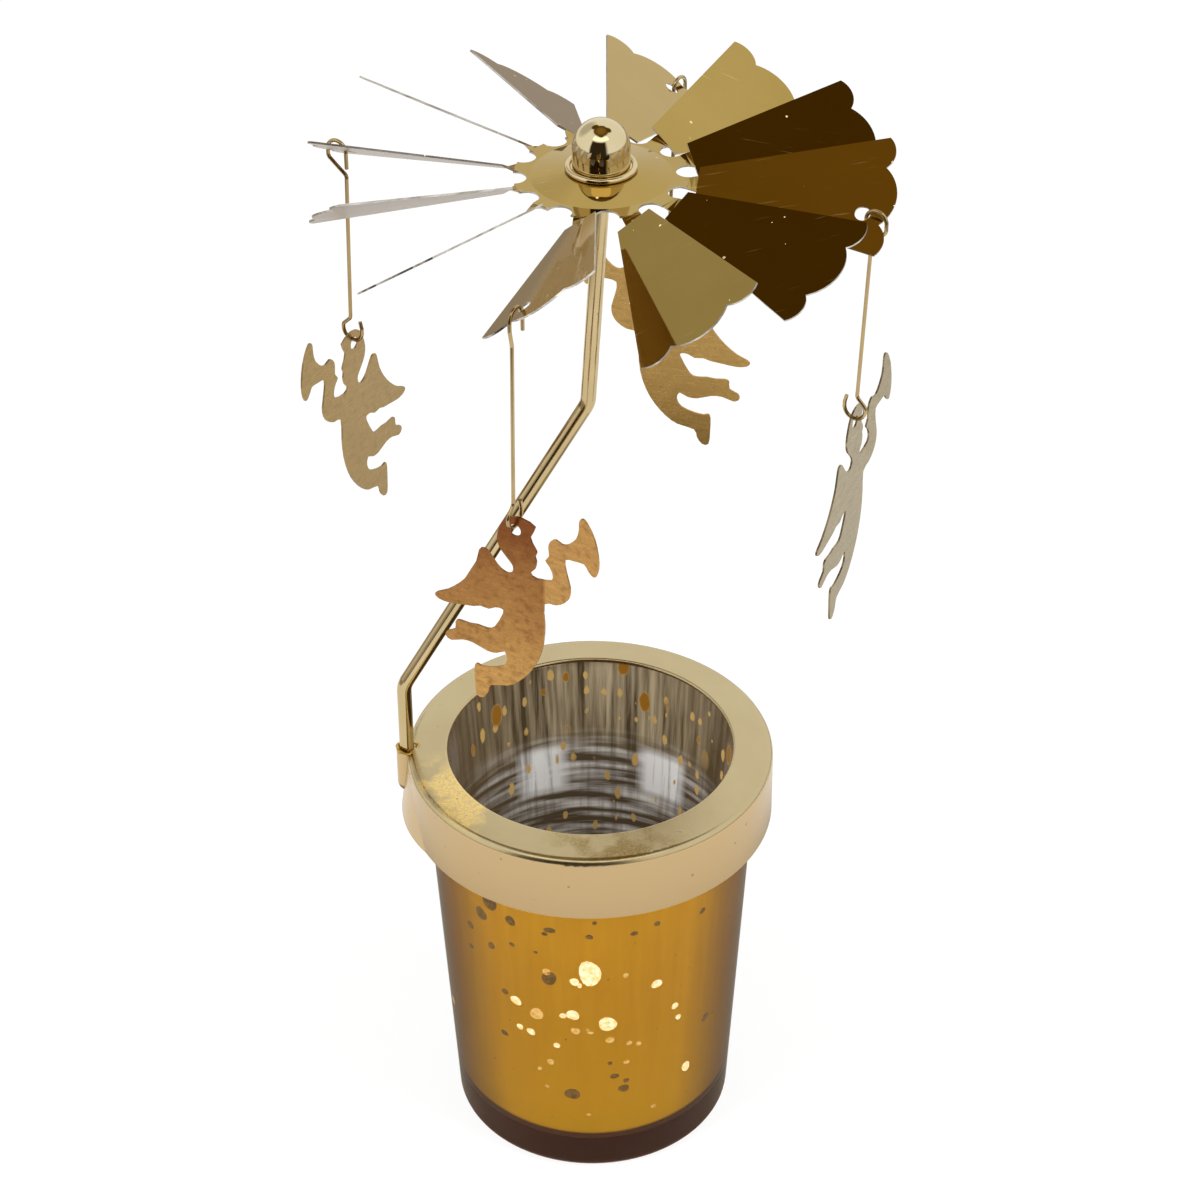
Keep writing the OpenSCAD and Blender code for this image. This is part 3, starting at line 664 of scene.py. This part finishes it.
# %% [markdown]
# ## The silver coat
#
# Inside, the glass carries a mirror coat with many small gaps, which is what makes it look
# old. It is far thinner than paint, but a mesh needs two sides here: the one in the cup is
# silver with gold flecks, and the one that is seen through the glass is gold. So the coat is
# a closed shell, 0.16 mm thick, made by turning a profile round the cup's axis.


# %% Turn a profile into a shell
MM = 0.001


def settled(name, made, smooth=False):
    """The finished mesh as a new object, with every face turned outward."""
    bmesh.ops.recalc_face_normals(made, faces=made.faces)
    for face in made.faces:
        face.smooth = smooth
    mesh = bpy.data.meshes.new(name)
    made.to_mesh(mesh)
    made.free()
    piece = bpy.data.objects.new(name, mesh)
    scene.collection.objects.link(piece)
    print(name, "has", len(mesh.polygons), "faces")
    return piece


def around(radius, angle, height):
    """A point in metres, from a radius and a height in millimetres."""
    return (radius * math.cos(angle) * MM, radius * math.sin(angle) * MM, height * MM)


def turned(name, profile, steps=160):
    """A surface of revolution round Z. The profile is a list of (radius, height)."""
    made = bmesh.new()
    rings = []
    for radius, height in profile:
        if radius == 0:                    # on the axis, all the ring's points are one
            rings.append([made.verts.new(around(0, 0, height))] * steps)
        else:
            rings.append([made.verts.new(around(radius, 2 * math.pi * k / steps, height))
                          for k in range(steps)])
    for lower, upper in zip(rings, rings[1:]):
        for k in range(steps):
            n = (k + 1) % steps
            corners = [lower[k], lower[n], upper[n], upper[k]]
            corners = [v for i, v in enumerate(corners) if v not in corners[:i]]
            if len(corners) > 2:
                made.faces.new(corners)
    return settled(name, made, smooth=True)


# %% Shape of the coat
WALL_LOW_R, WALL_HIGH_R = 20.6, 24.7       # inside of the glass at the two heights below
WALL_LOW_Z, RIM_Z = 8.0, 71.4
FILLET_R, GLASS_FLOOR = 3.0, 5.0
RIM_X, RIM_R = 26.1, 1.4                   # middle and radius of the glass rim's round edge
COAT_HALF = 0.08


def wall_r(z):
    """Inner radius of the glass at height z, in millimetres."""
    return WALL_LOW_R + (WALL_HIGH_R - WALL_LOW_R) * (z - WALL_LOW_Z) / (RIM_Z - WALL_LOW_Z)


def arc(centre, radius, angles):
    """Points on a circle round a centre, at angles in degrees."""
    return [(centre[0] + radius * math.cos(math.radians(a)),
             centre[1] + radius * math.sin(math.radians(a))) for a in angles]


def coat_line(shift):
    """The inside of the glass, moved by shift into it."""
    fillet = (WALL_LOW_R - FILLET_R, GLASS_FLOOR + FILLET_R)
    heights = [WALL_LOW_Z + (RIM_Z - WALL_LOW_Z) * k / 12 for k in range(1, 13)]
    return ([(0.0, GLASS_FLOOR - shift)]
            + arc(fillet, FILLET_R + shift, [-90 + 9 * k for k in range(11)])
            + [(wall_r(z) + shift, z) for z in heights]
            + arc((RIM_X, RIM_Z), RIM_R - shift, [180 - 9 * k for k in range(1, 7)]))


shell = coat_line(-COAT_HALF) + list(reversed(coat_line(COAT_HALF)))
coat = turned("silver_coat", shell)


# %% [markdown]
# The two sides of the coat are told apart by the direction of the surface: on the side in
# the cup it points to the axis. The flecks are laid out on the unrolled wall, in metres round
# the cup and metres up it, and they are stretched upwards because the coat has run a little.

# %% Helpers for the unrolled wall
COAT_R = 0.0235                            # mean radius of the wall, in metres


def unrolled(tree, stretch=1.0):
    """Place on the cup's wall, unrolled flat: round the cup, up the cup."""
    axes = parts_of(tree, place_of(tree))
    round_it = product(tree, calc(tree, "ARCTAN2", axes[1], axes[0]), COAT_R)
    return put(tree, "ShaderNodeCombineXYZ",
               {0: round_it, 1: product(tree, axes[2], stretch)}).outputs[0]


def sector(tree, bearing, first, last):
    """1 between two bearings in degrees, with soft borders."""
    return between(tree, bearing, math.radians(first), math.radians(last), 0.05)


# %% Finish on the candle's side
AWAY_FROM = math.radians(86)               # the bearing where the lining is brightest

coat_inside, tree, shader = new_material("silver_inside")
axes = parts_of(tree, place_of(tree))
height = axes[2]
bearing = calc(tree, "ARCTAN2", axes[1], axes[0])
wall = unrolled(tree, stretch=0.5)
small = use_group(tree, flecks, Place=wall, Number=560.0, Share=0.5, Size=0.42)
large = use_group(tree, flecks, Place=wall, Number=300.0, Share=0.5, Size=0.40)
upper = product(tree, large["Mask"], fade(tree, height, 0.057, 0.063))
hole = largest(tree, small["Mask"], upper)

streaks = use_group(tree, grain, Place=stretched(tree, unrolled(tree), 900, 45, 1))
# Painted reflections: bright and dark arcs round the cup, on the lining below about 56 mm.
reflection_arcs = noise(tree, stretched(tree, unrolled(tree), 60, 620, 1), 1.0, 3.0)
wall_tone = blend_colour(tree, fade(tree, streaks["Shade"], 0.2, 0.85),
                         srgb(84, 70, 48), srgb(194, 176, 144))
reflection_arc_mask = product(tree, fade(tree, reflection_arcs, 0.42, 0.66),
                   fade(tree, streaks["Shade"], 0.1, 0.6, 0.35, 1.0))
painted_arc_reflections = blend_colour(tree, reflection_arc_mask, srgb(96, 82, 62), srgb(236, 232, 226))
silver = blend_colour(tree, fade(tree, height, 0.059, 0.053), wall_tone, painted_arc_reflections)
# Painted shade: the lining darkens with bearing away from AWAY_FROM.
painted_shade_aside = calc(tree, "ABSOLUTE", calc(tree, "SUBTRACT", bearing, AWAY_FROM))
painted_shade_aside = fade(tree, painted_shade_aside, math.radians(22), math.radians(66), 0.0, 0.85)
silver = blend_colour(tree, painted_shade_aside, silver, srgb(88, 70, 44))
# Painted reflections of windows: near-white patches in two sectors, 47 to 55 mm up the lining.
panes_and_painted_reflections = product(tree, largest(tree, sector(tree, bearing, 48, 68), sector(tree, bearing, 101, 121)),
                between(tree, height, 0.0465, 0.0555, 0.001),
                fade(tree, streaks["Shade"], 0.1, 0.5, 0.3, 1.0))
silver = blend_colour(tree, panes_and_painted_reflections, silver, srgb(252, 251, 249))
brown = blend_colour(tree, upper, srgb(208, 172, 104), srgb(158, 108, 32))
lining = blend_colour(tree, hole, silver, brown)
# The lining also glows in its own colour: painted light.
wire_up(tree, shader, Base_Color=lining, Metallic=0.55, Emission_Color=lining,
        Emission_Strength=0.28, Roughness=calc(tree, "ADD", 0.16, product(tree, hole, 0.3)),
        Normal=bump(tree, streaks["Height"], 0.35, 0.00012))
coat.data.materials.append(coat_inside)

# %% [markdown]
# The glass bends the line of sight, so even at the cup's outline the coat behind it is met at
# less than fifty degrees and not at a grazing angle. The painted shade that darkens the gold
# toward the sides starts early for that reason.

# %% Finish on the glass's side
coat_outside, tree, shader = new_material("gold_behind_glass")
tiny = use_group(tree, flecks, Place=unrolled(tree, stretch=0.8),
                 Number=700.0, Share=0.12, Size=0.2)
streaks = use_group(tree, grain, Place=stretched(tree, unrolled(tree), 500, 40, 1))
height = parts_of(tree, place_of(tree))[2]
gold = blend_colour(tree, streaks["Shade"], srgb(228, 172, 26), srgb(240, 188, 38))
gold = blend_colour(tree, fade(tree, height, 0.040, 0.012, 0.0, 0.7), gold, srgb(255, 204, 28))
gold = blend_colour(tree, product(tree, tiny["Mask"], 0.6), gold, srgb(150, 116, 52))
# Painted shade: the gold darkens toward the cup's outline.
grazing = put(tree, "ShaderNodeLayerWeight", {"Blend": 0.5}).outputs["Facing"]
gold = blend_colour(tree, fade(tree, grazing, 0.19, 0.31), gold, srgb(112, 76, 50))
# The gold also glows a little in its own colour: painted light.
wire_up(tree, shader, Base_Color=gold, Metallic=0.9, Roughness=0.38,
        Emission_Color=gold, Emission_Strength=0.2)
coat.data.materials.append(coat_outside)

# %% Give each face its side
for face in coat.data.polygons:
    inward = (-face.normal.x * face.center.x - face.normal.y * face.center.y
              + face.normal.z * 0.01)      # the floor of the cup counts as inside too
    face.material_index = 0 if inward > 0 else 1
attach(coat, "cup")

# %% [markdown]
# ## Larger flecks in the coat
#
# The larger gaps in the mirror coat are what catches the eye, so they are pieces of their own.
# Each one is a thin oval that lies on the wall, given by its direction round the cup in degrees
# and its height, width and length in millimetres. The bright ones glow with painted light, as
# if light came through from inside.


# %% Ovals on the wall
OVAL_STEPS = 14
OVAL_INNER, OVAL_OUTER = 0.02, 0.12        # the oval's two faces, in millimetres off the wall


def ovals(name, rows):
    """Thin closed ovals on the coat's outer face, a little uneven in outline."""
    made = bmesh.new()
    for azimuth, z, width, length in rows:
        sheets = []
        for out in (OVAL_INNER, OVAL_OUTER):
            ring = []
            for k in range(OVAL_STEPS):
                a = 2 * math.pi * k / OVAL_STEPS
                size = 1 + 0.07 * math.sin(2 * a + azimuth) + 0.05 * math.sin(3 * a + z)
                high = z + size * math.sin(a) * length / 2
                radius = wall_r(high) + out
                turn = math.radians(azimuth) + size * math.cos(a) * width / 2 / radius
                ring.append(made.verts.new(around(radius, turn, high)))
            middle = made.verts.new(around(wall_r(z) + out, math.radians(azimuth), z))
            sheets.append((ring, middle))
        (inner, inner_middle), (outer, outer_middle) = sheets
        for k in range(OVAL_STEPS):
            n = (k + 1) % OVAL_STEPS
            made.faces.new((outer[k], outer[n], outer_middle))
            made.faces.new((inner[n], inner[k], inner_middle))
            made.faces.new((inner[k], inner[n], outer[n], outer[k]))
    return settled(name, made)


# %% Flecks: bright, tan and dark
BRIGHT = ((-91, 45.1, 3.5, 5.6), (-97, 43.1, 1.5, 1.6), (-95, 42.3, 0.7, 1),
          (-98, 35.4, 2, 2.2), (-102, 35, 1.2, 1), (-84, 33.3, 3, 3),
          (-122, 35.9, 2, 1.8), (-116, 29.7, 1.5, 1.4), (-121, 30, 1.2, 1.2),
          (-105, 27.8, 1, 1.2), (-64, 40.5, 2, 1.6), (-55, 33.7, 1.2, 1.4), (-53, 30.7, 1, 1.2),
          (-47, 17.6, 1.6, 2.2))
TAN = ((-113, 34.3, 2.2, 2.6), (-97, 31.7, 1.5, 1.4), (-83, 29.5, 1.5, 1.2), (-91, 31.4, 1, 0.6),
       (-108, 23.6, 1.2, 1.2), (-113, 21.4, 0.7, 0.8), (-75, 28.2, 0.9, 1), (-71, 27.6, 0.9, 1),
       (-76, 23.8, 1, 0.8), (-63, 11.4, 0.9, 0.8), (-82, 58.2, 1, 0.8), (-108, 44.6, 1.4, 1.4),
       (-77, 44.1, 0.9, 1), (-92, 32.1, 0.5, 0.6), (-110, 17.5, 0.7, 0.6), (-92, 11.7, 0.7, 0.6),
       (25, 30, 2.4, 2.6), (62, 41, 1.8, 2), (118, 24, 2.6, 2.8), (160, 38, 2, 2.2),
       (-170, 22, 1.6, 1.6))
DARK = ((-131, 56, 2.7, 3.2), (-136, 52.5, 2.2, 2.8), (-143, 48, 1.4, 1.6), (-132, 46.3, 1.3, 1.6),
        (-144, 43, 1.1, 1), (-122, 54, 1.8, 2), (-106, 54.2, 1.9, 1.2), (-108, 53.2, 1.1, 0.8),
        (-91, 53.4, 1.2, 1), (-89, 56.5, 0.8, 0.8), (-74, 53.3, 1.2, 1), (-116, 58.3, 1.1, 1),
        (-107, 43.2, 2.4, 3), (-99, 16.6, 2.4, 2.6), (-77, 17.6, 1.9, 1.6), (-81, 20.8, 1.4, 1.2),
        (-76, 19.4, 1, 1), (-63, 57.7, 1.1, 1), (-44, 52.6, 1.2, 1.2), (-37, 26.5, 1.7, 1.8),
        (-127, 37, 1.3, 1.2), (-112, 48.6, 0.7, 0.6), (-129, 26.9, 1.3, 1.2), (-83, 24, 0.8, 0.8),
        (-122, 48.7, 1, 0.8), (-65, 54.3, 1.1, 1), (10, 50, 2, 2.4), (45, 20, 1.6, 1.6),
        (88, 47, 2.4, 2.6), (140, 52, 1.8, 2), (172, 18, 1.8, 1.8))


def fleck_material(name, low, high, glow_strength):
    """A patchy tone that also glows, as if light came through from inside."""
    material, tree, shader = new_material(name)
    patchy = noise(tree, place_of(tree), 1500.0, 2.0)
    tone = blend_colour(tree, fade(tree, patchy, 0.35, 0.6), low, high)
    wire_up(tree, shader, Base_Color=tone, Metallic=0.0, Roughness=0.5, Emission_Color=tone,
            Emission_Strength=glow_strength)
    return material


# The gaps are real, and each kind also glows: painted light, strongest on the bright ones, as if
# light came through from inside, and faint on the dark ones.
for name, rows, low, high, strength in (
        ("coat_flecks_bright", BRIGHT, srgb(236, 206, 128), srgb(255, 250, 222), 0.95),
        ("coat_flecks_tan", TAN, srgb(224, 178, 84), srgb(248, 216, 138), 0.52),
        ("coat_flecks_dark", DARK, srgb(128, 98, 34), srgb(160, 128, 62), 0.10)):
    oval_piece = ovals(name, rows)
    oval_piece.data.materials.append(fleck_material(name, low, high, strength))
    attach(oval_piece, "cup")

# %% [markdown]
# ## The fold round the rod's foot
#
# The sheet was pressed round the rod by hand and left a crumpled lip. It shines more than the
# rest: it is smoother, and its brighter, yellower tone is a painted highlight. It is a closed
# ring whose radius, height and thickness wander a little.

# %% Crumpled lip
ROD_FOOT = (-30.1, 0.0, 73.15)             # in millimetres
LIP_R, LIP_THICK = 1.62, 0.28
LIP_STEPS, LIP_SIDES = 48, 10


def crumpled_ring(name):
    """A closed ring round the rod's foot that wanders in radius, level and thickness."""
    made = bmesh.new()
    loops = []
    for k in range(LIP_STEPS):
        a = 2 * math.pi * k / LIP_STEPS
        out = LIP_R + 0.12 * math.sin(3 * a + 0.6) + 0.08 * math.sin(7 * a)
        thick = LIP_THICK * (1 + 0.3 * math.sin(5 * a + 1.0))
        level = 0.18 * math.sin(2 * a + 0.4) + 0.10 * math.sin(6 * a)
        loop = []
        for j in range(LIP_SIDES):
            b = 2 * math.pi * j / LIP_SIDES
            r = out + thick * math.cos(b)
            loop.append(made.verts.new(((ROD_FOOT[0] + r * math.cos(a)) * MM,
                                        (ROD_FOOT[1] + r * math.sin(a)) * MM,
                                        (ROD_FOOT[2] + level + thick * math.sin(b)) * MM)))
        loops.append(loop)
    for k in range(LIP_STEPS):
        here, there = loops[k], loops[(k + 1) % LIP_STEPS]
        for j in range(LIP_SIDES):
            n = (j + 1) % LIP_SIDES
            made.faces.new((here[j], there[j], there[n], here[n]))
    return settled(name, made, smooth=True)


lip = crumpled_ring("foot_lip")
# Painted highlight: the lip is brighter and yellower than the ring.
lip_highlight_gold = polished("lip_highlight_gold", srgb(226, 196, 116), srgb(196, 154, 70), 0.16, 0.4, 0.3)
lip.data.materials.append(lip_highlight_gold)
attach(lip, "stand")
print("lip round the rod's foot")

# %% [markdown]
# ## Print the measurements
#
# Last, the box of the dressed object is printed, in metres. The finished pieces must not make
# the object larger.

# %% Print the size and finish
dressed_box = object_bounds()
low, high = dressed_box
print("box from", [round(v, 4) for v in low], "to", [round(v, 4) for v in high])
